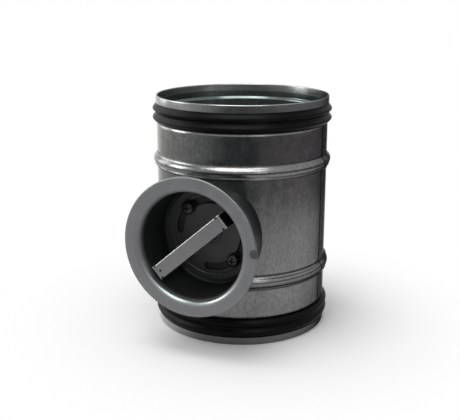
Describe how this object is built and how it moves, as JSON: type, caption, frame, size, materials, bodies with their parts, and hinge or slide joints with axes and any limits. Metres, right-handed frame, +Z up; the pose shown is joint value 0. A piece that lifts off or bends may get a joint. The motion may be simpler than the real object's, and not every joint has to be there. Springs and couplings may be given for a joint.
{
  "type": "round duct damper",
  "caption": "Short round duct section with a rubber-edged blade, set by a strap handle on a screw-locked slotted dial inside a recessed round cup.",
  "frame": {"origin": "on the duct's axis in the plane of the lower rim", "axes": "+Z runs up the duct's axis to the upper rim, and -Y runs out of the handle cup's mouth"},
  "size_m": [0.1313, 0.167, 0.17],
  "materials": {
    "galvanised_steel": "galvanised sheet, soft satin with rolling marks",
    "cup_steel": "grey drawn sheet, satin",
    "dial_steel": "grey pressed sheet, satin",
    "fastener_steel": "zinc plated",
    "rivet_steel": "plain rivet steel",
    "shaft_steel": "turned steel",
    "bush_plastic": "black moulded plastic",
    "black_rubber": "smooth black rubber"
  },
  "bodies": {
    "housing": {"duct_body": "galvanised_steel", "lower_lip_seal": "black_rubber", "upper_lip_seal": "black_rubber", "handle_cup": "cup_steel", "front_bush": "bush_plastic", "rear_gasket": "black_rubber", "rear_bush": "bush_plastic", "shaft_ring_seal": "black_rubber", "rear_rivets": "rivet_steel", "rear_cap": "bush_plastic", "rivet_nut_upper": "fastener_steel", "rivet_nut_lower": "fastener_steel"},
    "blade_set": {"dial_disc": "dial_steel", "handle_bar": "dial_steel", "handle_rivets": "rivet_steel", "hub_screw": "fastener_steel", "hub_washer": "fastener_steel", "blade_shaft": "shaft_steel", "shaft_clip": "fastener_steel", "blade_plate_upper": "galvanised_steel", "blade_plate_lower": "galvanised_steel", "blade_seal": "black_rubber", "blade_rivets": "rivet_steel", "shaft_rivets": "rivet_steel"},
    "upper_lock": {"lock_screw_upper": "fastener_steel", "lock_washer_upper": "fastener_steel"},
    "lower_lock": {"lock_screw_lower": "fastener_steel", "lock_washer_lower": "fastener_steel"}
  },
  "joints": [
    {"name": "blade_turn", "type": "hinge", "parent": "housing", "child": "blade_set", "pos_m": [0, 0, 0.079], "axis": [0, -1, 0], "range_deg": [-41, 49]},
    {"name": "upper_screw_turn", "type": "hinge", "parent": "housing", "child": "upper_lock", "pos_m": [-0.01711, -0.0575, 0.09611], "axis": [0, -1, 0], "range_deg": [0, 360]},
    {"name": "lower_screw_turn", "type": "hinge", "parent": "housing", "child": "lower_lock", "pos_m": [0.01711, -0.0575, 0.06189], "axis": [0, -1, 0], "range_deg": [0, 360]}
  ]
}
